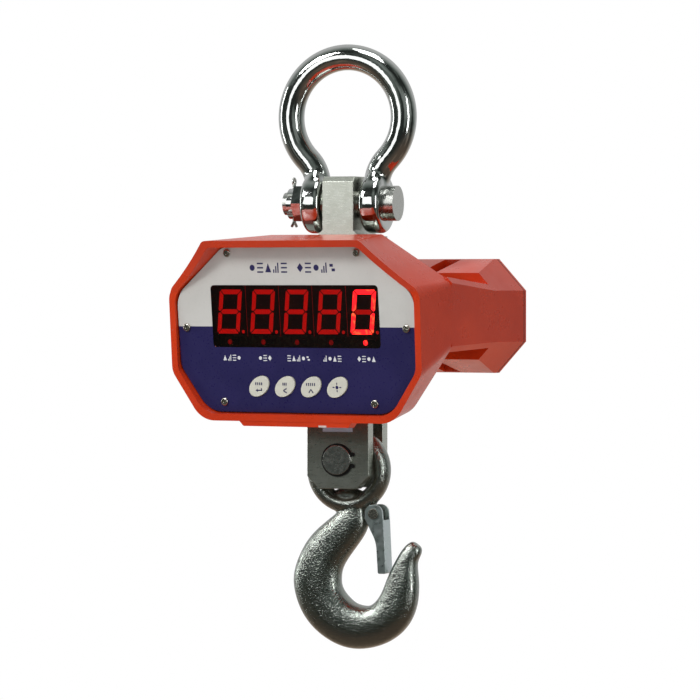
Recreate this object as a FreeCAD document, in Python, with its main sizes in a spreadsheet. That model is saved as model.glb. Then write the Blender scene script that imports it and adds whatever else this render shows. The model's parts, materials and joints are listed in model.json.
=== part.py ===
import FreeCAD, Part
import math
import os
from FreeCAD import Placement, Rotation, Vector

# A hanging crane scale: a bow shackle carries a steel load cell, an eye hook hangs under it, and
# a cast housing with the display wraps round the cell.  Millimetres, +Z up, the display faces -Y.
# The origin is the inside crown of the shackle's bow, where a crane hook carries the scale.

doc = FreeCAD.newDocument("CraneScale")
sheet = doc.addObject("Spreadsheet::Sheet", "Dims")
SIZES = {
    # load train, turned about +Z against the housing
    "train_turn": 14, "bow_bar": 22.4, "bow_radius": 51, "bow_centre": -39.5, "ear_centre": 26.65,
    "ear_thick": 18.3, "ear_radius": 25.6, "ear_round": 4.5, "pin_drop": -113.3, "neck_drop": -98,
    "pin_dia": 25, "bore_play": 0.1, "pin_head_radius": 15, "pin_head_long": 10, "thread_dia": 19.3,
    "thread_end": 56, "nut_flats": 30, "nut_start": 36, "nut_long": 9.5, "crown_radius": 13.2,
    "crown_long": 6, "nut_slot": 4, "cotter_dia": 3, "cotter_reach": 19, "spot_face": 18.5,
    "face_gap": 0.1, "drill": 100,
    "lug_width": 28, "cell_depth": 49, "cell_width": 55.3, "lug_top": -90.5, "shoulder": -141,
    "lug_chamfer": 4.3, "cell_bottom": -356, "fork_gap": 24, "fork_root": -290, "fork_chamfer": 10.6,
    "hook_pin_drop": -331.4, "hook_pin_long": 56, "clip_outer": 28.4, "clip_thick": 1.3,
    "gauge_radius": 15, "gauge_deep": 6, "gauge_height": -209, "cover_thick": 1.5,
    "label_width": 27, "label_tall": 20, "label_thick": 0.3, "label_top": -287.5,
    # hook and latch
    "eye_drop": -340.6, "eye_mid_radius": 29.65, "eye_half_wide": 7.7, "eye_half_thick": 10,
    "eye_shift": 1.5, "section_power": 0.8,
    "latch_x": 26.6, "latch_drop": -377.5, "latch_half": 9, "latch_sheet": 2, "rivet_play": 0.05,
    "lug_half": 3.5, "rivet_radius": 2.5, "rivet_head": 4.4, "rivet_rise": 1.6,
    # casting
    "wall": 6, "head_back": 33, "head_front": 110, "tail_front": 31, "tail_end": 79,
    "band_inner": 100, "body_half": 128, "duct_inner": 106, "duct_outer": 122,
    "duct_top": -188, "duct_bottom": -227, "tail_cave_top": -182, "tail_cave_bottom": -236.5,
    "notch_start": 52.5, "notch_wide": 16.5, "notch_end": 72, "notch_floor": 176,
    "notch_floor_low": -242.5, "lip_drop": 2.2,
    # front panel and what is behind it, along the panel's own outward axis
    "panel_tilt": 5.5, "panel_front": -78.5, "panel_mid": -219, "panel_thick": 2, "seal_thick": 1,
    "ledge_thick": 4, "ledge_wide": 9, "edge_gap": 1.1, "window_width": 171, "window_tall": 53,
    "window_mid": 9.8, "window_corner": 3.5, "window_gap": 0.15, "digit_pitch": 34.6,
    "digit_wide": 33.6, "digit_tall": 42, "digit_deep": 12, "digit_front": -2.4, "digit_mid": 15,
    "lamp_mid": -12.2, "lamp_radius": 2.3, "board_thick": 1.6, "key_mid": -49.6,
    "key_pitch": 26.6, "key_long": 11.3, "key_short": 7.6, "key_slant": 33, "key_rise": 1.2,
    "key_flange": 1.2, "key_back": -4, "key_gap": 0.3, "switch_size": 6, "switch_tip": -4.85,
    "key_board_front": -8, "main_front": -26, "main_width": 150, "main_tall": 78,
    "screw_head": 3.5, "screw_rise": 1.7, "screw_shank": 1.5, "screw_long": 11,
    "screw_crown": 1.1, "cross_long": 4, "cross_wide": 0.9, "cross_deep": 0.7, "stud_radius": 2.2,
    "stud_hole": 1.6, "stud_gap": 0.05, "display_half": 89, "display_tall": 66, "stud_x": 84,
    "stud_v": 29.2, "thread_gap": 0.02, "free_gap": 0.2, "key_board_half": 58, "key_board_tall": 22,
    # carriers, battery and rear
    "carrier_thick": 4, "carrier_half": 75, "carrier_high": -192, "carrier_low": -226,
    "ledge_block": 8, "bolt_x": 60, "bolt_head": 4.2, "bolt_shank": 2.5, "bolt_grip": 14,
    "bolt_inset": 4.5, "pack_width": 97,
    "pack_deep": 36, "pack_tall": 50, "pack_mid": -209.2, "strap_y": 75, "strap_thick": 1.5,
    "post_x": 56.5, "post_radius": 4,
    "cover_thickness": 3, "rear_seal": 1, "fitting_x": 80, "socket_radius": 6, "button_radius": 6,
}
for row, (alias, value) in enumerate(SIZES.items(), start=1):
    sheet.set(f"A{row}", alias)
    sheet.set(f"B{row}", str(value))
    sheet.setAlias(f"B{row}", alias)
doc.recompute()
finished = []


def dim(alias):
    """A size from the spreadsheet, for outlines that are worked out in code."""
    return float(sheet.get(alias))


def rule(text):
    """An expression over the sheet's aliases, written with each alias after a colon."""
    return str(text).replace(":", "Dims.")


def bind(item, **sizes):
    for name, text in sizes.items():
        item.setExpression(name, rule(text))
    return item


def at(item, x=0, y=0, z=0):
    for axis, text in zip("xyz", (x, y, z)):
        item.setExpression(f"Placement.Base.{axis}", rule(text))
    return item


def block(size, corner):
    """A box whose size and lowest corner are three rules each."""
    item = doc.addObject("Part::Box", "Block")
    bind(item, Length=size[0], Width=size[1], Height=size[2])
    return at(item, *corner)


def rod(radius, length, start, direction=(0, 0, 1)):
    """A cylinder from a start point along a direction."""
    item = doc.addObject("Part::Cylinder", "Rod")
    item.Placement = Placement(Vector(), Rotation(Vector(0, 0, 1), Vector(*direction)))
    bind(item, Radius=radius, Height=length)
    return at(item, *start)


def outline(points):
    """Lines through (x, y) points; a third number rounds that corner with an arc."""
    starts, ends, arcs = [], [], []
    count = len(points)
    for index, point in enumerate(points):
        corner = Vector(point[0], point[1], 0)
        radius = point[2] if len(point) > 2 else 0
        before = Vector(*points[index - 1][:2], 0) - corner
        after = Vector(*points[(index + 1) % count][:2], 0) - corner
        before.normalize()
        after.normalize()
        if radius == 0:
            starts.append(corner)
            ends.append(corner)
            continue
        half = before.getAngle(after) / 2
        first = corner + before * (radius / math.tan(half))
        last = corner + after * (radius / math.tan(half))
        toward = before + after
        toward.normalize()
        middle = corner + toward * (radius / math.sin(half) - radius)
        arcs.append(Part.Arc(first, middle, last))
        ends.append(first)
        starts.append(last)
    lines = [Part.LineSegment(starts[i - 1], ends[i]) for i in range(count)
             if starts[i - 1].distanceToPoint(ends[i]) > 1e-6]
    return lines + arcs


def oval(x, y, long_half, short_half, slant):
    """An ellipse whose long half-axis is turned by slant degrees."""
    turn = math.radians(slant)
    along = Vector(math.cos(turn), math.sin(turn), 0)
    across = Vector(-math.sin(turn), math.cos(turn), 0)
    centre = Vector(x, y, 0)
    return [Part.Ellipse(centre + along * long_half, centre + across * short_half, centre)]


def mirrored(points):
    """A right-hand chain of (x, z) points closed by its mirror image in x = 0."""
    return list(points) + [(-x, z, *more) for x, z, *more in reversed(points)]


def inset(points, distance):
    """A convex clockwise outline moved inward by a distance; corner radii are kept."""
    moved = []
    count = len(points)
    for index, point in enumerate(points):
        corner = Vector(*point[:2], 0)
        before = corner - Vector(*points[index - 1][:2], 0)
        after = Vector(*points[(index + 1) % count][:2], 0) - corner
        before.normalize()
        after.normalize()
        normal_one = Vector(before.y, -before.x, 0)
        normal_two = Vector(after.y, -after.x, 0)
        mean = normal_one + normal_two
        shift = mean * (distance / (1 + normal_one.dot(normal_two)))
        moved.append((corner.x + shift.x, corner.y + shift.y, *point[2:]))
    return moved


def sketch(body, plane, shapes, offset=0):
    drawing = body.newObject("Sketcher::SketchObject", "Outline")
    support = next(item for item in body.Origin.OriginFeatures if item.Role == plane)
    drawing.AttachmentSupport = (support, [""])
    drawing.MapMode = "FlatFace"
    drawing.setExpression("AttachmentOffset.Base.z", rule(offset))
    drawing.addGeometry(shapes, False)
    return drawing


def prism(plane, shapes, length, offset=0):
    """A padded outline.  XZ outlines grow towards -Y, XY ones towards +Z, YZ ones towards +X."""
    body = doc.addObject("PartDesign::Body", "Prism")
    drawing = sketch(body, plane, shapes, offset)
    pad = body.newObject("PartDesign::Pad", "Pad")
    pad.Profile = drawing
    bind(pad, Length=length)
    body.Tip = pad
    return body


def loft(plane, sections):
    """A ruled loft through (shapes, offset) sections."""
    body = doc.addObject("PartDesign::Body", "Loft")
    drawings = [sketch(body, plane, shapes, offset) for shapes, offset in sections]
    skin = body.newObject("PartDesign::AdditiveLoft", "AdditiveLoft")
    skin.Profile = drawings[0]
    skin.Sections = drawings[1:]
    skin.Ruled = True
    body.Tip = skin
    return body


def fuse(*items):
    if len(items) == 1:
        return items[0]
    joined = doc.addObject("Part::MultiFuse", "Fuse")
    joined.Shapes = list(items)
    return joined


def cut(base, *tools):
    result = doc.addObject("Part::Cut", "Cut")
    result.Base = base
    result.Tool = fuse(*tools)
    return result


def common(*items):
    result = doc.addObject("Part::MultiCommon", "Common")
    result.Shapes = list(items)
    return result


def group(*items):
    """Separate solids that share one node, such as a set of screws."""
    result = doc.addObject("Part::Compound", "Group")
    result.Links = list(items)
    return result


def rounded(item, radius, wanted):
    """Fillet the edges that the test picks."""
    doc.recompute()
    edges = [number for number, edge in enumerate(item.Shape.Edges, start=1) if wanted(edge)]
    result = doc.addObject("Part::Fillet", "Fillet")
    result.Base = item
    result.Edges = [(number, dim(radius), dim(radius)) for number in edges]
    return result


def done(label, item, placement=None):
    """Name a finished sub-part; a placement is put round everything that it is made of."""
    if placement is not None:
        holder = doc.addObject("Part::Compound", "Placed")
        holder.Links = [item]
        holder.Placement = placement
        item = holder
    item.Label = label
    finished.append(item)
    return item


TRAIN = Placement(Vector(), Rotation(Vector(0, 0, 1), dim("train_turn")))
PANEL = Placement(Vector(0, dim("panel_front"), dim("panel_mid")),
                  Rotation(Vector(1, 0, 0), 90 + dim("panel_tilt")))


# ---- shackle: bow, pin, nut and cotter -------------------------------------------------------

def shackle_bow():
    """Round bar: a big arc, two reverse arcs into the ears, and bored round ears."""
    big, ear = dim("bow_radius"), dim("ear_centre")
    rise = dim("bow_centre") - dim("neck_drop")
    reach = ((big - ear) ** 2 + rise ** 2) / (2 * (big - ear))
    small = reach - big
    turn = math.asin(rise / reach)
    centre = Vector(0, 0, dim("bow_centre"))

    def on_big(angle):
        return centre + Vector(big * math.cos(angle), 0, big * math.sin(angle))

    def on_small(side, angle):
        hub = Vector(side * (ear + small), 0, dim("neck_drop"))
        return hub + Vector(-side * small * math.cos(angle), 0, small * math.sin(angle))

    foot = Vector(ear, 0, dim("pin_drop"))
    edges = [Part.LineSegment(foot, on_small(1, 0)),
             Part.Arc(on_small(1, 0), on_small(1, turn / 2), on_small(1, turn)),
             Part.Arc(on_big(-turn), on_big(math.pi / 2), on_big(math.pi + turn)),
             Part.Arc(on_small(-1, turn), on_small(-1, turn / 2), on_small(-1, 0)),
             Part.LineSegment(on_small(-1, 0), Vector(-ear, 0, dim("pin_drop")))]
    path = Part.Wire([edge.toShape() for edge in edges])
    section = Part.Wire(Part.Circle(foot, Vector(0, 0, 1), dim("bow_bar") / 2).toShape())
    bar = doc.addObject("Part::Feature", "BowBar")
    bar.Shape = path.makePipeShell([section], True, True)
    pieces = [bar]
    for start in (":ear_centre - :ear_thick / 2", "-:ear_centre - :ear_thick / 2"):
        ear_disc = rod(":ear_radius", ":ear_thick", (start, 0, ":pin_drop"), (1, 0, 0))
        pieces.append(rounded(ear_disc, "ear_round", lambda edge: edge.Curve.TypeId == "Part::GeomCircle"))
    tools = [rod(":pin_dia / 2 + :bore_play / 2", "2 * :drill", ("-:drill", 0, ":pin_drop"), (1, 0, 0))]
    for start in (":ear_centre + :ear_thick / 2", "-:ear_centre - :ear_thick / 2 - :ear_thick"):
        tools.append(rod(":spot_face", ":ear_thick", (start, 0, ":pin_drop"), (1, 0, 0)))
    done("shackle_bow", cut(fuse(*pieces), *tools), TRAIN)


def shackle_pin():
    """A headed bolt along the train's X, reduced to the thread past the ear."""
    shank = rod(":pin_dia / 2", ":ear_centre * 2 + :ear_thick + 1",
                ("-:ear_centre - :ear_thick / 2", 0, ":pin_drop"), (1, 0, 0))
    head = rod(":pin_head_radius", ":pin_head_long",
               (":ear_centre + :ear_thick / 2 + :face_gap", 0, ":pin_drop"), (1, 0, 0))
    thread = rod(":thread_dia / 2", ":thread_end - 30", ("-:thread_end", 0, ":pin_drop"), (1, 0, 0))
    drilled = rod(":cotter_dia / 2 + 0.1", 60,
                  ("-:nut_start - :nut_long - :crown_long / 2", 0, ":pin_drop - 30"))
    done("shackle_pin", cut(fuse(shank, head, thread), drilled), TRAIN)


def shackle_nut():
    """A slotted hexagon nut with a round crown; six slots take the cotter."""
    across = dim("nut_flats") / math.sqrt(3)
    corners = [(across * math.cos(math.radians(60 * k)),
                dim("pin_drop") + across * math.sin(math.radians(60 * k))) for k in range(6)]
    hexagon = prism("YZ_Plane", outline(corners), ":nut_long", "-:nut_start - :nut_long")
    crown = rod(":crown_radius", ":crown_long + 0.5",
                ("-:nut_start - :nut_long - :crown_long", 0, ":pin_drop"), (1, 0, 0))
    tools = [rod(":thread_dia / 2 + 0.02", 60, (-80, 0, ":pin_drop"), (1, 0, 0))]
    for turn in (0, 60, 120):
        slot = doc.addObject("Part::Box", "Slot")
        bind(slot, Length=":crown_long", Width=":nut_slot", Height=40)
        spin = Rotation(Vector(1, 0, 0), turn)
        start = Vector(-dim("nut_start") - dim("nut_long") - dim("crown_long"), 0, dim("pin_drop"))
        slot.Placement = Placement(start + spin.multVec(Vector(0, -dim("nut_slot") / 2, -20)), spin)
        tools.append(slot)
    done("shackle_nut", cut(fuse(hexagon, crown), *tools), TRAIN)


def shackle_cotter():
    """A split pin through the crown: straight stem, eye on top, two short spread legs."""
    place = "-:nut_start - :nut_long - :crown_long / 2"
    stem = rod(":cotter_dia / 2", ":cotter_reach * 2 - 5", (place, 0, ":pin_drop - :cotter_reach + 3"))
    eye = doc.addObject("Part::Torus", "Eye")
    eye.Placement = Placement(Vector(), Rotation(Vector(1, 0, 0), Vector(0, 0, 1)))
    bind(eye, Radius1=2.6, Radius2=1.1)
    at(eye, place, 0, ":pin_drop + :cotter_reach")
    legs = [rod(1.2, 7, (place, 0, ":pin_drop - :cotter_reach + 4"), (0, side, -0.75)) for side in (-1, 1)]
    done("shackle_cotter", fuse(stem, eye, *legs), TRAIN)


# ---- load cell and the hook's pin -----------------------------------------------------------

def load_cell():
    """One steel block: bored lug, gauged body and a fork for the hook's eye."""
    half, lug = dim("cell_width") / 2, dim("lug_width") / 2
    flare, corner = 5, dim("fork_chamfer")
    front = [(lug, dim("lug_top")), (lug, dim("shoulder") + flare), (lug + flare, dim("shoulder")),
             (half, dim("shoulder")), (half, dim("cell_bottom") + corner),
             (half - corner, dim("cell_bottom"))]
    slab = prism("XZ_Plane", outline(mirrored(front)), ":cell_depth", "-:cell_depth / 2")
    deep, top, bevel = dim("cell_depth") / 2, dim("lug_top"), dim("lug_chamfer")
    side = [(deep - bevel, top), (deep, top - bevel), (deep, dim("cell_bottom"))]
    profile = prism("YZ_Plane", outline(mirrored(side)), 80, -40)
    tools = [rod(":pin_dia / 2 + :bore_play / 2", 80, (-40, 0, ":pin_drop"), (1, 0, 0)),
             rod(":pin_dia / 2 + :bore_play / 2", 80, (0, -40, ":hook_pin_drop"), (0, 1, 0)),
             block((80, ":fork_gap", ":fork_root - :cell_bottom + 1"),
                   (-40, "-:fork_gap / 2", ":cell_bottom - 1"))]
    for start in ("-:cell_width / 2 - 1", ":cell_width / 2 - :gauge_deep"):
        tools.append(rod(":gauge_radius", ":gauge_deep + 1", (start, 0, ":gauge_height"), (1, 0, 0)))
    done("load_cell", cut(common(slab, profile), *tools), TRAIN)


def gauge_parts():
    """Strain-gauge bridges on the pocket floors, and the discs that close the pockets."""
    covers, bridges = [], []
    for side in (-1, 1):
        outer = f"{side} * :cell_width / 2 - {(side + 1) / 2} * :cover_thick"
        covers.append(rod(":gauge_radius - 0.05", ":cover_thick", (outer, 0, ":gauge_height"), (1, 0, 0)))
        floor = f"{side} * (:cell_width / 2 - :gauge_deep) - {(1 - side) / 2} * 0.6"
        bridges.append(block((0.6, 12, 12), (floor, -6, ":gauge_height - 6")))
    done("gauge_covers", group(*covers), TRAIN)
    done("strain_gauges", group(*bridges), TRAIN)


def hook_pin():
    """A plain pin with a groove at each end for its circlips."""
    shaft = rod(":pin_dia / 2", ":hook_pin_long", (0, "-:hook_pin_long / 2", ":hook_pin_drop"), (0, 1, 0))
    clips, grooves = [], []
    for side in (-1, 1):
        start = f"{side} * (:cell_depth / 2 + 0.1 + :clip_thick / 2) - :clip_thick / 2"
        outer = rod(":clip_outer / 2", ":clip_thick", (0, start, ":hook_pin_drop"), (0, 1, 0))
        tabs = [rod(1.7, ":clip_thick", (14, start, f":hook_pin_drop {shift}"), (0, 1, 0))
                for shift in ("+ 4.9", "- 4.9")]
        inner = rod(":pin_dia / 2 - 1.1", ":clip_thick", (0, start, ":hook_pin_drop"), (0, 1, 0))
        gap = block((20, ":clip_thick", 6), (5, start, ":hook_pin_drop - 3"))
        clips.append(cut(fuse(outer, *tabs), inner, gap))
        band = rod(20, ":clip_thick", (0, start, ":hook_pin_drop"), (0, 1, 0))
        core = rod(":pin_dia / 2 - 1.15", ":clip_thick", (0, start, ":hook_pin_drop"), (0, 1, 0))
        grooves.append(cut(band, core))
    done("hook_pin", cut(shaft, *grooves), TRAIN)
    done("hook_pin_circlips", group(*clips), TRAIN)


def rating_label():
    done("rating_label", block((":label_width", ":label_thick", ":label_tall"),
                               ("-:label_width / 2", "-:cell_depth / 2 - :label_thick",
                                ":label_top - :label_tall")), TRAIN)


# ---- hook and its latch ---------------------------------------------------------------------

def hook():
    """A forged eye hook: a ring of rounded bar, then oval sections round the bowl to the tip."""
    # centre x, centre z, turn of the long half-axis in degrees, half width, half thickness
    sections = [(5.5, -369, 0, 12.5, 9.5), (4.5, -380, -8, 14.5, 10.5),
                (-7.7, -396.8, -15, 19.8, 12), (-23.2, -418.9, -16, 19.9, 13.5),
                (-26.9, -433.4, -1, 21, 14.2), (-25, -446.2, 15.5, 20.8, 14.2),
                (-13.9, -463, 38.7, 20.7, 14.2), (1.1, -472.6, 63, 19.7, 14.2),
                (14, -475, 79, 18.9, 14), (26, -472.8, 101.5, 17.8, 13.6),
                (39.2, -464, 127.5, 17.7, 13), (47.6, -449.4, 149, 16.6, 12),
                (51.1, -431, 171, 13, 10.5), (54, -418, 170, 9.3, 9),
                (59.6, -408.4, 148, 7.6, 7.2), (63.2, -403.3, 143, 4.4, 4.2)]
    grid = []

    def full(value):
        """A cosine or sine pushed outward, so that the section is squarer than an ellipse."""
        return math.copysign(abs(value) ** dim("section_power"), value)

    for x, z, angle, half, thick in sections:
        turn = math.radians(angle)
        along = Vector(math.cos(turn), 0, math.sin(turn)) * half
        middle = Vector(x, 0, z)
        steps = [math.tau * k / 12 for k in range(13)]
        grid.append([middle + along * full(math.cos(a)) + Vector(0, thick * full(math.sin(a)), 0)
                     for a in steps])
    surface = Part.BSplineSurface()
    surface.interpolate(grid)
    skin = surface.toShape()
    ends = [Part.Face(Part.Wire(edge)) for edge in skin.Edges if edge.isClosed()]
    solid = Part.makeSolid(Part.makeShell([skin] + ends))
    solid.fix(0.01, 0.01, 0.01)
    bowl = doc.addObject("Part::Feature", "Bowl")
    bowl.Shape = solid
    eye_body = doc.addObject("PartDesign::Body", "Eye")
    section = sketch(eye_body, "XZ_Plane",
                     oval(dim("eye_mid_radius"), 0, dim("eye_half_thick"), dim("eye_half_wide"), 90))
    ring_turn = eye_body.newObject("PartDesign::Revolution", "EyeRing")
    ring_turn.Profile = section
    ring_turn.ReferenceAxis = (section, ["V_Axis"])
    ring_turn.Angle = 360
    eye_body.Tip = ring_turn
    eye_centre = Vector(dim("eye_shift"), 0, dim("eye_drop"))
    eye_body.Placement = Placement(eye_centre, Rotation(Vector(1, 0, 0), 90))
    lug_outline = [(8, -366, 3), (24, -369.5, 3), (31.8, -373, 5), (31.8, -383, 5), (23, -386, 3), (8, -392)]
    lug = prism("XZ_Plane", outline(lug_outline), ":lug_half * 2", "-:lug_half")
    bore = rod(":rivet_radius + :rivet_play", 30, (":latch_x", -15, ":latch_drop"), (0, 1, 0))
    done("hook", cut(fuse(bowl, eye_body, lug), bore), TRAIN)


def latch():
    """A pressed channel: two cheeks round the rivet and a web that closes the hook's mouth."""
    x, z = dim("latch_x"), dim("latch_drop")
    cheek = [(x - 7.6, z + 7.6, 7), (x + 7.6, z + 7.6, 7), (x + 8.9, z - 6), (37.6, -428.5, 1.5),
             (30.6, -428.5, 1.5), (29, z - 24, 30), (x - 7.6, z - 4.5, 6)]
    solid = prism("XZ_Plane", outline(cheek), ":latch_half * 2", "-:latch_half")
    hollow = [(x - 20, z + 20), (x + 20, z + 20), (x + 20, z - 4.6), (x + 7, z - 5.4), (36.2, -440),
              (0, -440)]
    space = prism("XZ_Plane", outline(hollow), ":latch_half * 2 - :latch_sheet * 2",
                  "-:latch_half + :latch_sheet")
    bore = rod(":rivet_radius + :rivet_play", 30, (":latch_x", -15, ":latch_drop"), (0, 1, 0))
    done("latch", cut(solid, space, bore), TRAIN)


def latch_rivet():
    """A solid rivet with a flat head at each end."""
    stem = rod(":rivet_radius", ":latch_half * 2 + 2 * :rivet_rise",
               (":latch_x", "-:latch_half - :rivet_rise", ":latch_drop"), (0, 1, 0))
    heads = [rod(":rivet_head", ":rivet_rise", (":latch_x", start, ":latch_drop"), (0, 1, 0))
             for start in ("-:latch_half - :rivet_rise - :face_gap", ":latch_half + :face_gap")]
    done("latch_rivet", fuse(stem, *heads), TRAIN)


def latch_spring():
    """Two coils round the rivet between the hook's lug and the latch's cheeks."""
    coils = []
    for start in (":lug_half + 0.4", "-:lug_half - 2.8"):
        outer = rod(4.3, 2.4, (":latch_x", start, ":latch_drop"), (0, 1, 0))
        inner = rod(3.1, 2.4, (":latch_x", start, ":latch_drop"), (0, 1, 0))
        leg = block((1.2, 1.2, 17), (":latch_x + 3.1", f"{start} + 0.6", ":latch_drop - 17"))
        coils.append(fuse(cut(outer, inner), leg))
    done("latch_spring", group(*coils), TRAIN)


# ---- cast housing ---------------------------------------------------------------------------

HEAD_BACK = [(57, -140, 4), (128, -181, 7), (128, -234, 14), (85, -292, 24)]
HEAD_FRONT = [(82.4, -146.1, 10), (128, -193, 22), (127, -271, 20), (110, -302.8, 26)]
TAIL = [(101, -160.5), (128, -187.5), (128, -231), (101, -258)]


def panel_outline(distance):
    """The head cavity's section on the panel's plane, moved inward, in the panel's own axes."""
    back = inset(mirrored(HEAD_BACK), dim("wall"))
    front = inset(mirrored(HEAD_FRONT), dim("wall"))
    inverse = PANEL.inverse()
    points = []
    for index, (near, far) in enumerate(zip(front, back)):
        one = inverse.multVec(Vector(near[0], -dim("head_front"), near[1]))
        two = inverse.multVec(Vector(far[0], -dim("head_back"), far[1]))
        share = one.z / (one.z - two.z)
        corner = one + (two - one) * share
        points.append((corner.x, corner.y, near[2]))
    return inset(points, distance)


def panel_screw_places():
    return [(side * x, v) for x, v in ((66, 63.6), (112, 0), (76.7, -63.2)) for side in (-1, 1)]


def head_shell():
    """The head: a lofted octagon trimmed to the leaning front, hollowed, with the panel's ledge."""
    outer = loft("XZ_Plane", [(outline(mirrored(HEAD_BACK)), ":head_back"),
                              (outline(mirrored(HEAD_FRONT)), ":head_front")])
    trim = [(-dim("head_back"), -130), (-109.3, -130), (-83.4, -188.6), (-79, -257), (-75.8, -310),
            (-dim("head_back"), -310)]
    side_view = prism("YZ_Plane", outline(trim), 280, -140)
    back = inset(mirrored(HEAD_BACK), dim("wall"))
    front = inset(mirrored(HEAD_FRONT), dim("wall"))
    hollow = loft("XZ_Plane", [(outline(back), ":head_back"), (outline(front), ":head_front")])
    kept = block((260, ":head_front", 200), (-130, "-:head_front - :head_back - :wall", -330))
    cave = common(hollow, kept)
    shell = cut(common(outer, side_view), cave)
    drop = -300 - dim("lip_drop")
    ends = [(-60, drop + 5), (56, drop + 5), (52, drop, 2), (-55, drop, 2)]
    lip = prism("XZ_Plane", outline(ends), 9, 67.2)
    return fuse(shell, lip)


def panel_ledge():
    """The ring that the panel's seal rests on, with six screw bosses, in the panel's axes."""
    depth = "-:panel_thick - :seal_thick - :ledge_thick"
    ring_out = prism("XY_Plane", outline(panel_outline(-1.5)), ":ledge_thick", depth)
    ring_in = prism("XY_Plane", outline(panel_outline(dim("ledge_wide"))), ":ledge_thick + 2", depth + " - 1")
    bosses = [rod(5, ":ledge_thick + 6", (x, v, depth + " - 6")) for x, v in panel_screw_places()]
    holes = [rod(":screw_shank + :thread_gap", 30, (x, v, -20)) for x, v in panel_screw_places()]
    ledge = cut(fuse(cut(ring_out, ring_in), *bosses), *holes)
    holder = doc.addObject("Part::Compound", "Ledge")
    holder.Links = [ledge]
    holder.Placement = PANEL
    return holder


def tail_shell():
    """The tail box: an octagon with ramped top and bottom, notched twice on each ramp."""
    box = prism("XZ_Plane", outline(mirrored(TAIL)), ":tail_end - :tail_front", "-:tail_end")
    front, top, low = dim("tail_front"), TAIL[0][1], TAIL[3][1]
    ramp = [(front, top - 12), (74, top), (90, top), (90, low), (74, low), (front, low + 12)]
    box = common(box, prism("YZ_Plane", outline(ramp), 280, -140))
    tools = [block(("2 * :duct_outer", 60, ":tail_cave_top - :tail_cave_bottom"),
                   ("-:duct_outer", ":tail_front + 5", ":tail_cave_bottom"))]
    for x in (":notch_start", "-:notch_start - :notch_wide"):
        long = ":notch_end - :tail_front + 1"
        tools.append(block((":notch_wide", long, 30), (x, ":tail_front - 1", "-:notch_floor")))
        tools.append(block((":notch_wide", long, 30), (x, ":tail_front - 1", ":notch_floor_low - 30")))
    return cut(box, *tools)


def side_bands():
    """The two hollow side walls that join head and tail, flush with both."""
    bands = []
    for side in (-1, 1):
        inner = side * dim("band_inner")
        outer = side * dim("body_half")
        step = side * (dim("body_half") - 5)
        near = [(inner, -176), (step, -176), (outer, -181), (outer, -234), (step, -239), (inner, -239)]
        far = [(inner, -182.5), (step, -182.5), (outer, -187.5), (outer, -231), (step, -236), (inner, -236)]
        ends = [(outline(near), ":head_back + 1"), (outline(far), "-:tail_front - 1")]
        bands.append(loft("XZ_Plane", ends))
    return bands


def housing():
    """Head, bands and tail as one casting, with wire ducts, carrier ledges and battery posts."""
    ducts = [block((":duct_outer - :duct_inner", 110, ":duct_top - :duct_bottom"),
                   (start, "-:head_back - 12", ":duct_bottom")) for start in (":duct_inner", "-:duct_outer")]
    blocks = []
    for x in (40, "-:carrier_half"):
        for y in ("-:head_back", ":tail_front - :ledge_block"):
            for z in (":carrier_high - :carrier_thick - 6", ":carrier_low + :carrier_thick"):
                blocks.append(block((":carrier_half - 40", ":ledge_block", 6), (x, y, z)))
    posts = [rod(":post_radius", ":strap_y - :tail_front - 4", (x, ":tail_front + 4", ":pack_mid"), (0, 1, 0))
             for x in (":post_x", "-:post_x")]
    holes = [rod(":screw_shank + :thread_gap", 12, (x, ":strap_y - 11", ":pack_mid"), (0, 1, 0))
             for x in (":post_x", "-:post_x")]
    holes += [rod(":bolt_shank + :free_gap", 60, (x, y, -240)) for x, y in bolt_places()]
    holes += [rod(":screw_shank + :thread_gap", 14, (x, ":tail_end - 13", z), (0, 1, 0))
              for x, z in rear_screw_places()]
    solid = fuse(head_shell(), panel_ledge(), tail_shell(), *side_bands(), *blocks, *posts)
    done("housing", cut(solid, *ducts, *holes))


def bolt_places():
    rows = ("-:head_back + :bolt_inset", ":tail_front - :bolt_inset")
    return [(x, y) for x in ("-:bolt_x", ":bolt_x") for y in rows]


def cell_carriers():
    """Two plates across the waist, each with a window that grips the turned load cell."""
    high = {"upper_carrier": ":carrier_high - :carrier_thick", "lower_carrier": ":carrier_low"}
    for label, base in high.items():
        plate = block(("2 * :carrier_half", ":head_back + :tail_front - 0.4", ":carrier_thick"),
                      ("-:carrier_half", "-:head_back + 0.2", base))
        window = block((":cell_width + 0.1", ":cell_depth + 0.1", 20),
                       ("-:cell_width / 2 - 0.05", "-:cell_depth / 2 - 0.05", base + " - 5"))
        turned = doc.addObject("Part::Compound", "TurnedWindow")
        turned.Links = [window]
        turned.Placement = TRAIN
        holes = [rod(":bolt_shank + :free_gap", 20, (x, y, base + " - 5")) for x, y in bolt_places()]
        done(label, cut(plate, turned, *holes))
    bolts = []
    for x, y in bolt_places():
        upper = rod(":bolt_head", 4, (x, y, ":carrier_high"))
        bolts.append(fuse(upper, rod(":bolt_shank", ":bolt_grip", (x, y, ":carrier_high - 9.5"))))
        lower = rod(":bolt_head", 4, (x, y, ":carrier_low - 4"))
        bolts.append(fuse(lower, rod(":bolt_shank", ":bolt_grip", (x, y, ":carrier_low - 4.5"))))
    done("carrier_bolts", group(*bolts))


# ---- front panel, keys and display, all in the panel's own axes ------------------------------

def key_places():
    return [(k - 1.5) * dim("key_pitch") for k in range(4)]


def window_outline(grow, corner):
    half, tall, mid = dim("window_width") / 2 + grow, dim("window_tall") / 2 + grow, dim("window_mid")
    return outline([(half, mid + tall, corner), (half, mid - tall, corner),
                    (-half, mid - tall, corner), (-half, mid + tall, corner)])


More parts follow.
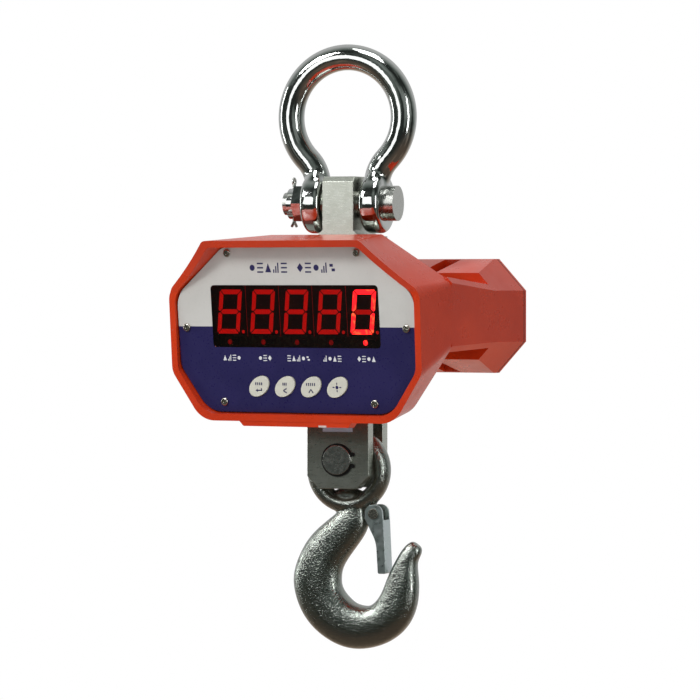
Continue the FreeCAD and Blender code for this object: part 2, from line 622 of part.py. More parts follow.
def face_panel():
    """The printed metal plate with the window, four key holes and six screw holes."""
    plate = prism("XY_Plane", outline(panel_outline(dim("edge_gap"))), ":panel_thick", "-:panel_thick")
    tools = [prism("XY_Plane", window_outline(0, dim("window_corner")), 10, -5)]
    for x in key_places():
        shape = oval(x, dim("key_mid"), dim("key_long") + dim("key_gap"),
                     dim("key_short") + dim("key_gap"), dim("key_slant"))
        tools.append(prism("XY_Plane", shape, 10, -5))
    tools += [rod(":screw_shank + :free_gap", 10, (x, v, -5)) for x, v in panel_screw_places()]
    done("face_panel", cut(plate, *tools), PANEL)


def panel_gasket():
    base = "-:panel_thick - :seal_thick"
    outer = prism("XY_Plane", outline(panel_outline(dim("edge_gap") + 0.3)), ":seal_thick", base)
    inner = prism("XY_Plane", outline(panel_outline(dim("ledge_wide"))), 5, base + " - 2")
    holes = [rod(":screw_shank + 0.3", 10, (x, v, -8)) for x, v in panel_screw_places()]
    done("panel_gasket", cut(outer, inner, *holes), PANEL)


def panel_screws():
    """Six pan-head screws with a cross recess."""
    screws = []
    for x, v in panel_screw_places():
        head = rod(":screw_head", ":screw_rise", (x, v, ":thread_gap"))
        head = rounded(head, "screw_crown", lambda edge: edge.CenterOfMass.z > 1 and edge.Length > 20)
        shank = rod(":screw_shank", ":screw_long", (x, v, "-:screw_long + 0.5"))
        long, wide = dim("cross_long"), dim("cross_wide")
        cross = [block((a, b, ":screw_rise"), (x - a / 2, v - b / 2, ":cross_deep"))
                 for a, b in ((long, wide), (wide, long))]
        screws.append(cut(fuse(head, shank), *cross))
    done("panel_screws", group(*screws), PANEL)


def display_parts():
    """The window pane, five digit modules, five lamps and the board that carries them."""
    gap = dim("window_gap")
    shape = window_outline(-gap, dim("window_corner") - gap)
    pane = prism("XY_Plane", shape, ":panel_thick - 0.1", "-:panel_thick")
    done("display_window", pane, PANEL)
    digits, lamps = [], []
    for k in range(5):
        x = f"{k - 2} * :digit_pitch"
        digits.append(block((":digit_wide", ":digit_tall", ":digit_deep"),
                            (f"{x} - :digit_wide / 2", ":digit_mid - :digit_tall / 2",
                             ":digit_front - :digit_deep")))
        lamp = rod(":lamp_radius", 6, (x, ":lamp_mid", ":digit_front - 6"))
        lamps.append(fuse(lamp, rod(1.6, ":digit_deep - 2", (x, ":lamp_mid", ":digit_front - :digit_deep"))))
    done("digit_modules", group(*digits), PANEL)
    done("status_lamps", group(*lamps), PANEL)
    back = ":digit_front - :digit_deep"
    board = block(("2 * :display_half", ":display_tall", ":board_thick"),
                  ("-:display_half", ":window_mid - :display_tall / 2", back + " - :board_thick"))
    corners = [(x, v) for x in ("-:stud_x", ":stud_x")
               for v in (":window_mid + :stud_v", ":window_mid - :stud_v")]
    holes = [rod(":stud_hole", 20, (x, v, -20)) for x, v in corners]
    done("display_board", cut(board, *holes), PANEL)
    studs = [rod(":stud_radius", ":digit_deep - :digit_front - :panel_thick - :stud_gap", (x, v, back))
             for x, v in corners]
    done("display_standoffs", group(*studs), PANEL)
    nuts = [rod(":stud_radius + 0.2", 2, (x, v, back + " - :board_thick - 2")) for x, v in corners]
    done("display_nuts", group(*nuts), PANEL)


def keys():
    """Four slanted oval keys, each with a flange that keeps it behind the panel."""
    names = ("key_far_left", "key_mid_left", "key_mid_right", "key_far_right")
    for name, x in zip(names, key_places()):
        cap = prism("XY_Plane", oval(x, dim("key_mid"), dim("key_long"), dim("key_short"), dim("key_slant")),
                    ":key_rise - :key_back", ":key_back")
        brim = dim("key_flange")
        flange = prism("XY_Plane", oval(x, dim("key_mid"), dim("key_long") + brim, dim("key_short") + brim,
                                        dim("key_slant")), "-:key_back - :panel_thick - 0.2", ":key_back")
        done(name, fuse(cap, flange), PANEL)
    switches = []
    for x in key_places():
        body = block((":switch_size", ":switch_size", 2.4),
                     (f"{x} - :switch_size / 2", ":key_mid - :switch_size / 2", ":key_board_front"))
        plunger = rod(1.7, ":switch_tip - :key_board_front", (x, ":key_mid", ":key_board_front"))
        switches.append(fuse(body, plunger))
    done("key_switches", group(*switches), PANEL)
    board = block(("2 * :key_board_half", ":key_board_tall", ":board_thick"),
                  ("-:key_board_half", ":key_mid - :key_board_tall / 2", ":key_board_front - :board_thick"))
    places = [(x, v) for x in (-53, 53) for v in (":key_mid - 7", ":key_mid + 7")]
    holes = [rod(":stud_hole", 20, (x, v, -20)) for x, v in places]
    done("key_board", cut(board, *holes), PANEL)
    studs = [rod(":stud_radius", "-:key_board_front - :panel_thick - :stud_gap", (x, v, ":key_board_front"))
             for x, v in places]
    done("key_board_standoffs", group(*studs), PANEL)


def main_board():
    """The main board on four pillars, with its converter can, radio module and aerial."""
    back = ":main_front - :board_thick"
    board = block((":main_width", ":main_tall", ":board_thick"),
                  ("-:main_width / 2", "-:main_tall / 2 + 8", back))
    places = [(x, v) for x in (-68, 68) for v in (-26, 42)]
    holes = [rod(":stud_hole", 20, (x, v, -40)) for x, v in places]
    done("main_board", cut(board, *holes), PANEL)
    tops = {-26: ":digit_front - :digit_deep - 2", 42: ":digit_front - :digit_deep - :board_thick"}
    pillars = [rod(2.5, f"{tops[v]} - :stud_gap - :main_front", (x, v, ":main_front")) for x, v in places]
    done("board_pillars", group(*pillars), PANEL)
    done("converter_can", block((26, 22, 5), (-52, 6, f"{back} - 5")), PANEL)
    done("radio_module", block((30, 18, 3), (20, 14, f"{back} - 3")), PANEL)
    done("aerial", rod(1, 46, (51, 23, f"{back} - 2"), (1, 0, 0)), PANEL)


# ---- tail: battery, cover, socket and switch --------------------------------------------------

def rear_screw_places():
    corners = ((45, -171), (92, -171), (92, -247.5), (45, -247.5))
    return [(side * x, z) for x, z in corners for side in (-1, 1)]


def rear_outline():
    return outline(mirrored(TAIL))


def rear_parts():
    """Seal and cover plate over the tail, with eight screws."""
    holes = [rod(":screw_shank + :free_gap", 20, (x, ":tail_end - 5", z), (0, 1, 0))
             for x, z in rear_screw_places()]
    seal = prism("XZ_Plane", rear_outline(), ":rear_seal", "-:tail_end - :rear_seal")
    inner = block((244, 20, 54), (-122, ":tail_end - 5", -236.2))
    done("rear_gasket", cut(seal, inner, *holes))
    outside = ":tail_end + :rear_seal + :cover_thickness"
    plate = prism("XZ_Plane", rear_outline(), ":cover_thickness",
                  "-:tail_end - :rear_seal - :cover_thickness")
    more = [rod(":screw_shank + :free_gap", 20, (x, ":tail_end - 5", z), (0, 1, 0))
            for x, z in rear_screw_places()]
    bores = [rod(":socket_radius + 0.1", 30, (":fitting_x", ":tail_end - 5", ":pack_mid"), (0, 1, 0)),
             rod(8.1, 30, ("-:fitting_x", ":tail_end - 5", ":pack_mid"), (0, 1, 0))]
    done("rear_cover", cut(plate, *more, *bores))
    screws = []
    for x, z in rear_screw_places():
        head = rod(":screw_head", ":screw_rise", (x, f"{outside} + :thread_gap", z), (0, 1, 0))
        shank = rod(":screw_shank", 12, (x, f"{outside} - 11.5", z), (0, 1, 0))
        long, wide = dim("cross_long"), dim("cross_wide")
        cross = [block((a, ":screw_rise", b), (x - a / 2, f"{outside} + :cross_deep", z - b / 2))
                 for a, b in ((long, wide), (wide, long))]
        screws.append(cut(fuse(head, shank), *cross))
    done("rear_screws", group(*screws))


def battery():
    """A sealed pack against the tail's front wall, held by a strap on two posts."""
    corner = ("-:pack_width / 2", ":strap_y - :pack_deep - 0.3", ":pack_mid - :pack_tall / 2")
    done("battery", block((":pack_width", ":pack_deep", ":pack_tall"), corner))
    strap = block(("2 * :post_x + 10", ":strap_thick", 12), ("-:post_x - 5", ":strap_y", ":pack_mid - 6"))
    ends = (":post_x", "-:post_x")
    holes = [rod(1.7, 10, (x, ":strap_y - 5", ":pack_mid"), (0, 1, 0)) for x in ends]
    done("battery_strap", cut(strap, *holes))
    screws = []
    for x in ends:
        head = rod(3, 1.6, (x, ":strap_y + :strap_thick + 0.02", ":pack_mid"), (0, 1, 0))
        screws.append(fuse(head, rod(1.5, 10, (x, ":strap_y - 8", ":pack_mid"), (0, 1, 0))))
    done("strap_screws", group(*screws))


def rear_fittings():
    """The charging socket and the latching power button in the rear cover."""
    outside = ":tail_end + :rear_seal + :cover_thickness"
    barrel = rod(":socket_radius", 16, (":fitting_x", f"{outside} - 14", ":pack_mid"), (0, 1, 0))
    flange = rod(":socket_radius + 2.5", 1.6, (":fitting_x", f"{outside} + 0.02", ":pack_mid"), (0, 1, 0))
    mouth = rod(3.2, 12, (":fitting_x", f"{outside} - 8", ":pack_mid"), (0, 1, 0))
    centre_pin = rod(1, 9, (":fitting_x", f"{outside} - 8.5", ":pack_mid"), (0, 1, 0))
    done("charging_socket", fuse(cut(fuse(barrel, flange), mouth), centre_pin))
    sleeve = rod(8, 20, ("-:fitting_x", f"{outside} - 18", ":pack_mid"), (0, 1, 0))
    collar = rod(10.5, 2, ("-:fitting_x", f"{outside} + 0.02", ":pack_mid"), (0, 1, 0))
    well = rod(":button_radius + 0.3", 12, ("-:fitting_x", f"{outside} - 8", ":pack_mid"), (0, 1, 0))
    done("power_switch", cut(fuse(sleeve, collar), well))
    plunger = rod(":button_radius", 8.5, ("-:fitting_x", f"{outside} - 4", ":pack_mid"), (0, 1, 0))
    done("power_button", plunger)


for make in (shackle_bow, shackle_pin, shackle_nut, shackle_cotter, load_cell, gauge_parts, hook_pin,
             rating_label, hook, latch, latch_rivet, latch_spring, housing, cell_carriers, face_panel,
             panel_gasket, panel_screws, display_parts, keys, main_board, battery, rear_parts,
             rear_fittings):
    make()
doc.recompute()

failed = [item.Name for item in doc.Objects if "Invalid" in item.State or "Error" in item.State]
if failed:
    raise RuntimeError("failed objects: " + ", ".join(failed))
for part in finished:
    if part.Shape.isNull() or not part.Shape.isValid():
        raise RuntimeError("bad shape: " + part.Label)
os.makedirs("parts", exist_ok=True)
for part in finished:
    part.Shape.exportStep(f"parts/{part.Label}.step")
    box = part.Shape.BoundBox
    print(f"{part.Label:22s} solids {len(part.Shape.Solids):2d} volume {part.Shape.Volume / 1000:9.2f} cm3  "
          f"x {box.XMin:.1f}..{box.XMax:.1f}  y {box.YMin:.1f}..{box.YMax:.1f}  "
          f"z {box.ZMin:.1f}..{box.ZMax:.1f}")
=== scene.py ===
import json
import math

import bmesh
import bpy
import numpy as np
from mathutils import Matrix, Vector


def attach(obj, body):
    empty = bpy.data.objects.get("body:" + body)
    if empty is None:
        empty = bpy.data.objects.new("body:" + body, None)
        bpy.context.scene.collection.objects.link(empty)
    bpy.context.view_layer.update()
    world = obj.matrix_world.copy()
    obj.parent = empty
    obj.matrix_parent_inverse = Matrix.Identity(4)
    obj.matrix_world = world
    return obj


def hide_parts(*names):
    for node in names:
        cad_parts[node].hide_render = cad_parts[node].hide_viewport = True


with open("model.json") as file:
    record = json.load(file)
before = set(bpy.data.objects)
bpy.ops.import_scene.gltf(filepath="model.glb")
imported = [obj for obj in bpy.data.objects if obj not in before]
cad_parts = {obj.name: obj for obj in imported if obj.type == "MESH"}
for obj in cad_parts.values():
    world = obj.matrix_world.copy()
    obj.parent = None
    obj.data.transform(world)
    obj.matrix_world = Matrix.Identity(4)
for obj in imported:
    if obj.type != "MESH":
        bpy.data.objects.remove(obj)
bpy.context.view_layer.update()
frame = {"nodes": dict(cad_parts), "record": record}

nodes = frame["nodes"]
slots = {part["node"]: part["material_slot"] for part in frame["record"]["subparts"]}
body_of = {node: body for body, members in frame["record"]["behaviour"]["bodies"].items()
           for node in members}

# ---- cast housing ----------------------------------------------------------------------------
# One aluminium casting: head, two side walls and tail.  It is sprayed orange-red after fettling,
# so every edge is slightly round, the skin has a fine orange peel, and knocks show pale primer.


def new_material(name, colour, roughness, metallic=0.0):
    """A material and its Principled shader; the plain values serve where nodes aren't read."""
    made = bpy.data.materials.new(name)
    made.use_nodes = True
    shader = made.node_tree.nodes["Principled BSDF"]
    shader.inputs["Base Color"].default_value = (*colour, 1)
    shader.inputs["Roughness"].default_value = roughness
    shader.inputs["Metallic"].default_value = metallic
    return made, shader


def noise(tree, scale, detail=3.0, rough=0.55, source=None):
    """Noise over Object coordinates, in cycles per metre, or over another vector."""
    place = tree.nodes.new("ShaderNodeTexCoord")
    made = tree.nodes.new("ShaderNodeTexNoise")
    made.inputs["Scale"].default_value = scale
    made.inputs["Detail"].default_value = detail
    made.inputs["Roughness"].default_value = rough
    tree.links.new(source or place.outputs["Object"], made.inputs["Vector"])
    return made.outputs["Fac"]


def ramp(tree, source, low, high, low_out=0.0, high_out=1.0):
    """A clamped straight-line map from low..high to low_out..high_out."""
    made = tree.nodes.new("ShaderNodeMapRange")
    ends = {"From Min": low, "From Max": high, "To Min": low_out, "To Max": high_out}
    for label, value in ends.items():
        made.inputs[label].default_value = value
    tree.links.new(source, made.inputs["Value"])
    return made.outputs["Result"]


def blend_colour(tree, mask, first, second):
    """Mix two colours, each a socket or an RGB triple, by a mask."""
    colour_a, colour_b, colour_out = 6, 7, 2
    made = tree.nodes.new("ShaderNodeMix")
    made.data_type = "RGBA"
    tree.links.new(mask, made.inputs["Factor"])
    for index, value in ((colour_a, first), (colour_b, second)):
        if isinstance(value, tuple):
            made.inputs[index].default_value = (*value, 1)
        else:
            tree.links.new(value, made.inputs[index])
    return made.outputs[colour_out]


def maths(tree, operation, first, second):
    """One arithmetic step on two values, each a socket or a number."""
    made = tree.nodes.new("ShaderNodeMath")
    made.operation = operation
    for index, value in enumerate((first, second)):
        if isinstance(value, (int, float)):
            made.inputs[index].default_value = value
        else:
            tree.links.new(value, made.inputs[index])
    return made.outputs[0]


def bump(tree, height, distance, strength=1.0, normal=None):
    """A bumped normal from a height, over another normal if one is given."""
    made = tree.nodes.new("ShaderNodeBump")
    made.inputs["Distance"].default_value = distance
    made.inputs["Strength"].default_value = strength
    tree.links.new(height, made.inputs["Height"])
    if normal is not None:
        tree.links.new(normal, made.inputs["Normal"])
    return made.outputs["Normal"]


peel = bpy.data.node_groups.new("FineSkin", "ShaderNodeTree")
for label in ("Scale", "Depth"):
    peel.interface.new_socket(label, in_out="INPUT", socket_type="NodeSocketFloat")
peel.interface.new_socket("Height", in_out="OUTPUT", socket_type="NodeSocketFloat")
given = peel.nodes.new("NodeGroupInput")
result = peel.nodes.new("NodeGroupOutput")
place = peel.nodes.new("ShaderNodeTexCoord")
grain = peel.nodes.new("ShaderNodeTexNoise")
grain.inputs["Detail"].default_value = 2
peel.links.new(place.outputs["Object"], grain.inputs["Vector"])
peel.links.new(given.outputs["Scale"], grain.inputs["Scale"])
deep = maths(peel, "MULTIPLY", grain.outputs["Fac"], given.outputs["Depth"])
peel.links.new(deep, result.inputs["Height"])


def fine_skin(tree, scale, depth):
    """The shared fine surface unevenness, as a height."""
    made = tree.nodes.new("ShaderNodeGroup")
    made.node_tree = peel
    made.inputs["Scale"].default_value = scale
    made.inputs["Depth"].default_value = depth
    return made.outputs["Height"]


def roughen(shader, scale, depth, distance):
    """Bump a shader with the fine unevenness alone."""
    tree = shader.id_data
    tree.links.new(bump(tree, fine_skin(tree, scale, depth), distance), shader.inputs["Normal"])


def vary_roughness(shader, scale, low, high, detail=3.0):
    """Let the roughness drift between two values over the usual span of the noise."""
    tree = shader.id_data
    drift = ramp(tree, noise(tree, scale, detail), 0.3, 0.7, low, high)
    tree.links.new(drift, shader.inputs["Roughness"])


def vary_colour(shader, mask, first, second):
    """Blend the base colour between two colours by a mask."""
    tree = shader.id_data
    tree.links.new(blend_colour(tree, mask, first, second), shader.inputs["Base Color"])


def copied(node, suffix):
    """A stand-in for a CAD node: its mesh, merged, with the flat faces rejoined."""
    merge_gap, flat_enough = 2e-6, math.radians(1.2)
    piece = nodes[node].copy()
    piece.data = nodes[node].data.copy()
    piece.name = node + suffix
    piece.parent = None
    for key in [key for key in piece.keys() if key.startswith("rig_")]:
        del piece[key]
    bpy.context.scene.collection.objects.link(piece)
    mesh = bmesh.new()
    mesh.from_mesh(piece.data)
    bmesh.ops.remove_doubles(mesh, verts=mesh.verts, dist=merge_gap)
    bmesh.ops.dissolve_limit(mesh, angle_limit=flat_enough, verts=mesh.verts, edges=mesh.edges)
    mesh.to_mesh(piece.data)
    mesh.free()
    if piece.data.has_custom_normals:
        with bpy.context.temp_override(object=piece, active_object=piece):
            bpy.ops.mesh.customdata_custom_splitnormals_clear()
    piece.data.shade_smooth()
    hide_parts(node)
    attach(piece, body_of[node])
    return piece


def softened(node, width):
    """A copied node with its sharp edges rounded."""
    piece = copied(node, "_skin")
    edge = piece.modifiers.new("edges", "BEVEL")
    edge.width = width
    edge.segments = 3
    edge.limit_method = "ANGLE"
    edge.angle_limit = math.radians(28)
    edge.harden_normals = True
    edge.miter_outer = "MITER_ARC"
    return piece


def paint(piece, made):
    """Put one material in every slot of a piece."""
    for held in piece.material_slots:
        held.material = made


orange, shader = new_material("OrangePaint", (0.60, 0.045, 0.012), 0.3)
shader.inputs["Coat Weight"].default_value = 0.12
shader.inputs["Coat Roughness"].default_value = 0.15
shader.inputs["Specular IOR Level"].default_value = 0.4
tree = orange.node_tree
PRIMER = (0.62, 0.52, 0.48)
clouds = ramp(tree, noise(tree, 18), 0.35, 0.65)
tone = blend_colour(tree, clouds, (0.60, 0.040, 0.006), (0.53, 0.032, 0.005))
specks = ramp(tree, noise(tree, 260, 4, 0.7), 0.735, 0.75)

# One knock on the front lip's lower edge: near this x, below this z and ahead of this y.
KNOCK_X, KNOCK_HALF, KNOCK_Z, KNOCK_Y = 0.026, 0.004, -0.3003, -0.0700
place = tree.nodes.new("ShaderNodeTexCoord")
axes = tree.nodes.new("ShaderNodeSeparateXYZ")
tree.links.new(place.outputs["Object"], axes.inputs["Vector"])
low = ramp(tree, axes.outputs["Z"], KNOCK_Z, KNOCK_Z - 0.0007)
ahead = ramp(tree, axes.outputs["Y"], KNOCK_Y, KNOCK_Y - 0.0035)
near = maths(tree, "COMPARE", axes.outputs["X"], KNOCK_X)
near.node.inputs[2].default_value = KNOCK_HALF
torn = maths(tree, "MULTIPLY", near, ramp(tree, noise(tree, 70, 3, 0.6), 0.40, 0.46))
knock = maths(tree, "MULTIPLY", maths(tree, "MULTIPLY", low, ahead), torn)
worn = maths(tree, "MAXIMUM", maths(tree, "MULTIPLY", specks, 0.5), knock)
vary_colour(shader, worn, tone, PRIMER)
vary_roughness(shader, 40, 0.24, 0.36)
roughen(shader, 700, 0.5, 0.00025)
paint(softened("housing", 0.0016), orange)
paint(softened("rear_cover", 0.0006), orange)

# ---- shackle, pins and circlips ----------------------------------------------------------------
# A drop-forged bow, ground round and chrome plated, with a turned bolt, a slotted nut and a split
# pin.  The plate is a mirror that follows the forging's slight waves.

TRAIN = Matrix.Rotation(math.radians(14), 4, "Z")
VOXEL = 0.0009


def forged(node, passes):
    """A copied node as one skin of small even faces, relaxed until its joins are filleted."""
    piece = copied(node, "_forging")
    skin = piece.modifiers.new("skin", "REMESH")
    skin.mode = "VOXEL"
    skin.voxel_size = VOXEL
    skin.use_smooth_shade = True
    relax = piece.modifiers.new("relax", "SMOOTH")
    relax.factor = 0.5
    relax.iterations = passes
    return piece


def add_swell(piece, centre, radii):
    """Add an ellipsoid, in the load train's axes, that the remesh melts into the piece."""
    stretch = Matrix.Diagonal((*radii, 1))
    mesh = bmesh.new()
    mesh.from_mesh(piece.data)
    bmesh.ops.create_uvsphere(mesh, u_segments=48, v_segments=24, radius=1,
                              matrix=TRAIN @ Matrix.Translation(centre) @ stretch)
    mesh.to_mesh(piece.data)
    mesh.free()


chrome, shader = new_material("MirrorPlate", (0.58, 0.60, 0.585), 0.07, 1.0)
vary_roughness(shader, 60, 0.045, 0.12)
roughen(shader, 90, 0.6, 0.0004)
bow = forged("shackle_bow", 30)
EAR_X, EAR_Z = 0.02665, -0.0995
for ear_x in (-EAR_X, EAR_X):
    add_swell(bow, (ear_x, 0, EAR_Z), (0.0103, 0.0178, 0.0185))
paint(bow, chrome)
paint(softened("shackle_nut", 0.0006), chrome)

turned, shader = new_material("TurnedSteel", (0.52, 0.53, 0.50), 0.22, 1.0)
vary_roughness(shader, 300, 0.2, 0.3, 2)
for node in ("shackle_pin", "shackle_cotter", "hook_pin"):
    paint(softened(node, 0.0005), turned)

black, shader = new_material("BlackOxide", (0.012, 0.012, 0.012), 0.4, 0.4)
vary_roughness(shader, 500, 0.3, 0.5)
paint(softened("hook_pin_circlips", 0.0002), black)

# ---- load cell ---------------------------------------------------------------------------------
# A bar of alloy steel milled to a lug above and a fork below, then ground and nickel plated to a
# fine satin.  The grinding runs across the block.

satin, shader = new_material("SatinNickel", (0.52, 0.54, 0.48), 0.3, 1.0)
tree = satin.node_tree
place = tree.nodes.new("ShaderNodeTexCoord")
stretch = tree.nodes.new("ShaderNodeMapping")
stretch.inputs["Scale"].default_value = (1, 1, 14)
tree.links.new(place.outputs["Object"], stretch.inputs["Vector"])
lay = noise(tree, 160, 4, 0.6, stretch.outputs["Vector"])
tree.links.new(ramp(tree, lay, 0.3, 0.7, 0.25, 0.35), shader.inputs["Roughness"])
clouds = ramp(tree, noise(tree, 120, 5, 0.65), 0.4, 0.62)
vary_colour(shader, clouds, (0.50, 0.52, 0.46), (0.56, 0.58, 0.525))
tree.links.new(bump(tree, lay, 0.000015), shader.inputs["Normal"])
paint(softened("load_cell", 0.0007), satin)
for node in ("gauge_covers", "upper_carrier", "lower_carrier"):
    paint(softened(node, 0.0003), satin)

# ---- hook, latch and screws --------------------------------------------------------------------
# The hook is a forging with a finely pitted skin under bright zinc.  The latch is folded sheet with
# a bluish passivated zinc.  Its rivet and spring are nickel plated, as every screw and nut is.

zinc, shader = new_material("ForgedZinc", (0.36, 0.385, 0.355), 0.18, 1.0)
vary_roughness(shader, 250, 0.10, 0.20)
tree = zinc.node_tree
pitted = bump(tree, ramp(tree, noise(tree, 620, 3, 0.6), 0.34, 0.56), 0.00013)
tree.links.new(bump(tree, fine_skin(tree, 110, 0.6), 0.0004, 0.4, pitted), shader.inputs["Normal"])
hook = forged("hook", 14)
SADDLE = (0.001, 0, -0.3625)
add_swell(hook, SADDLE, (0.0155, 0.0078, 0.0068))
paint(hook, zinc)

sheet_zinc, shader = new_material("BlueZinc", (0.60, 0.70, 0.70), 0.4, 1.0)
vary_roughness(shader, 300, 0.26, 0.38)
tree = sheet_zinc.node_tree
clouds = ramp(tree, noise(tree, 70), 0.4, 0.6)
vary_colour(shader, clouds, (0.58, 0.68, 0.67), (0.62, 0.70, 0.71))
paint(softened("latch", 0.0003), sheet_zinc)

nickel, shader = new_material("NickelScrew", (0.58, 0.555, 0.49), 0.2, 1.0)
vary_roughness(shader, 900, 0.14, 0.3, 2)
for node, slot in slots.items():
    if slot == "screw_nickel":
        paint(softened(node, 0.0002), nickel)

# ---- front panel -------------------------------------------------------------------------------
# A 2 mm plate, printed warm grey above and navy below the middle screws, with a satin clear coat.
# Its own axes start at its middle: right, up the plate, and out of the plate.

TILT = math.radians(5.5)
PANEL_MIDDLE = (0, -0.0785, -0.219)
panel_axes = Matrix.Translation(PANEL_MIDDLE) @ Matrix.Rotation(math.pi / 2 + TILT, 4, "X")
printed, shader = new_material("PrintedPlate", (0.5, 0.5, 0.48), 0.32)
shader.inputs["Specular IOR Level"].default_value = 0.35
tree = printed.node_tree
place = tree.nodes.new("ShaderNodeTexCoord")
axes = tree.nodes.new("ShaderNodeSeparateXYZ")
tree.links.new(place.outputs["Object"], axes.inputs["Vector"])
SPLIT_Z, SPLIT_BLUR = -0.218, 0.00005
upper = ramp(tree, axes.outputs["Z"], SPLIT_Z - SPLIT_BLUR, SPLIT_Z + SPLIT_BLUR)
clouds = ramp(tree, noise(tree, 30), 0.35, 0.65)
grey = blend_colour(tree, clouds, (0.56, 0.545, 0.52), (0.60, 0.585, 0.56))
clouds = ramp(tree, noise(tree, 35), 0.35, 0.65)
navy = blend_colour(tree, clouds, (0.016, 0.013, 0.075), (0.021, 0.017, 0.088))
vary_colour(shader, upper, navy, grey)
vary_roughness(shader, 600, 0.26, 0.38, 2)
roughen(shader, 1400, 0.4, 0.00008)
paint(nodes["face_panel"], printed)

rubber, shader = new_material("SpongeRubber", (0.02, 0.02, 0.02), 0.75)
roughen(shader, 2500, 0.8, 0.0003)
for node in ("panel_gasket", "rear_gasket"):
    paint(nodes[node], rubber)

# ---- keys --------------------------------------------------------------------------------------
# Four moulded caps in warm cream, slanted ovals with soft edges, each printed with a plain sign.
# Every printed or lit mark on the front is placed in the panel's own axes, in millimetres.

cream, shader = new_material("CreamKey", (0.66, 0.64, 0.56), 0.34)
tree = cream.node_tree
clouds = ramp(tree, noise(tree, 150), 0.4, 0.6)
vary_colour(shader, clouds, (0.66, 0.64, 0.55), (0.62, 0.60, 0.53))
roughen(shader, 1800, 0.4, 0.0001)
key_names = ["key_far_left", "key_mid_left", "key_mid_right", "key_far_right"]
for name in key_names:
    paint(softened(name, 0.0004), cream)


def flat_marks(name, shapes, height, made, body):
    """Flat outlines at one height over the panel, all facing out, joined in one thin print."""
    corners, faces = np.zeros((0, 2)), []
    for shape in shapes:
        outline = np.array(shape, float)
        x, v = outline.T
        if np.dot(x, np.roll(v, -1)) < np.dot(v, np.roll(x, -1)):
            outline = outline[::-1]
        faces.append(list(range(len(corners), len(corners) + len(outline))))
        corners = np.vstack([corners, outline])
    flat = np.column_stack([corners, np.full(len(corners), height)]) / 1000
    axes = np.array(panel_axes)
    data = bpy.data.meshes.new(name)
    data.from_pydata((flat @ axes[:3, :3].T + axes[:3, 3]).tolist(), [], faces)
    piece = bpy.data.objects.new(name, data)
    bpy.context.scene.collection.objects.link(piece)
    piece.data.materials.append(made)
    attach(piece, body)


def bar(x0, v0, x1, v1, width):
    """A straight stroke from one point to another."""
    along = np.array([x1 - x0, v1 - v0], float)
    side = np.array([-along[1], along[0]]) / np.hypot(*along) * width / 2
    ends = np.array([[x0, v0], [x1, v1]])
    return [ends[0] - side, ends[1] - side, ends[1] + side, ends[0] + side]


def disc(x, v, radius):
    """A round dot."""
    turn = np.linspace(0, math.tau, 24, endpoint=False)
    return list(zip(x + radius * np.cos(turn), v + radius * np.sin(turn)))


ink, shader = new_material("NavyInk", (0.02, 0.016, 0.09), 0.35)
vary_roughness(shader, 800, 0.3, 0.42)
KEY_ROW, KEY_PITCH, SIGN_HEIGHT, PEN = -49.6, 26.6, 1.225, 1.0
arrow_back = [bar(-2.2, -3.4, 2.6, -3.4, PEN), bar(2.6, -3.9, 2.6, -1.6, PEN),
              [(-3.6, -3.4), (-1.4, -1.9), (-1.4, -4.9)]]
point_left = [bar(1.9, -1.5, -1.6, -3.4, PEN), bar(-1.6, -3.4, 1.9, -5.3, PEN)]
point_up = [bar(-2.2, -5.0, 0, -1.9, PEN), bar(0, -1.9, 2.2, -5.0, PEN)]
target = [disc(0, 0, 1.5), bar(-4.4, 0, -2.4, 0, 0.9), bar(2.4, 0, 4.4, 0, 0.9),
          bar(0, 2.2, 0, 4, 0.9), bar(0, -2.2, 0, -4, 0.9)]
tally_places = ((-3, -1, 1, 3), (-1.6, 0, 1.6), (-4, -2, 0, 2, 4))
tally = [[bar(x, 1.0, x, 3.4, 1.1) for x in row] for row in tally_places]
signs = [arrow_back + tally[0], point_left + tally[1], point_up + tally[2], target]
for index, (name, strokes) in enumerate(zip(key_names, signs)):
    middle = (index - 1.5) * KEY_PITCH
    moved = [[(x + middle, v + KEY_ROW) for x, v in stroke] for stroke in strokes]
    flat_marks(name + "_sign", moved, SIGN_HEIGHT, ink, body_of[name])

# ---- display -----------------------------------------------------------------------------------
# Five 38 mm seven-segment modules and a row of round lamps behind a red-tinted acrylic pane.  The
# last digit and lamp are lit; the unlit segments, lamps and dividers carry a faint painted glow.

pane, shader = new_material("TintedPane", (0.55, 0.16, 0.15), 0.03)
shader.inputs["Transmission Weight"].default_value = 1.0
shader.inputs["IOR"].default_value = 1.45
vary_roughness(shader, 25, 0.015, 0.04)
paint(nodes["display_window"], pane)
module, shader = new_material("ModuleBlack", (0.006, 0.005, 0.005), 0.45)
vary_roughness(shader, 300, 0.38, 0.55)
for node in ("digit_modules", "key_switches", "status_lamps"):
    paint(nodes[node], module)


def glow(name, colour, core, strength):
    """A diffusing red resin that emits; lit ones glow towards orange in blotches where the dies sit,
    unlit ones carry a painted glow.
    """
    made, shader = new_material(name, colour, 0.4)
    tree = made.node_tree
    dies = ramp(tree, noise(tree, 210, 1), 0.52, 0.70)
    tree.links.new(blend_colour(tree, dies, colour, core), shader.inputs["Emission Color"])
    shader.inputs["Emission Strength"].default_value = strength
    vary_roughness(shader, 500, 0.35, 0.5)
    return made


# The unlit segments and decimal points glow faintly: painted light standing in for the light their red
# resin scatters back.
unlit_painted_glow = glow("DimSegment", (0.85, 0.016, 0.010), (0.90, 0.024, 0.012), 0.55)
lit_red = glow("LitSegment", (1.0, 0.035, 0.055), (1.0, 0.30, 0.10), 4.0)
# The dividers and the unlit lamps glow faintly too: painted light, as they are not lit.
faint_painted_glow = glow("FaintLamp", (0.30, 0.006, 0.005), (0.40, 0.010, 0.008), 0.5)

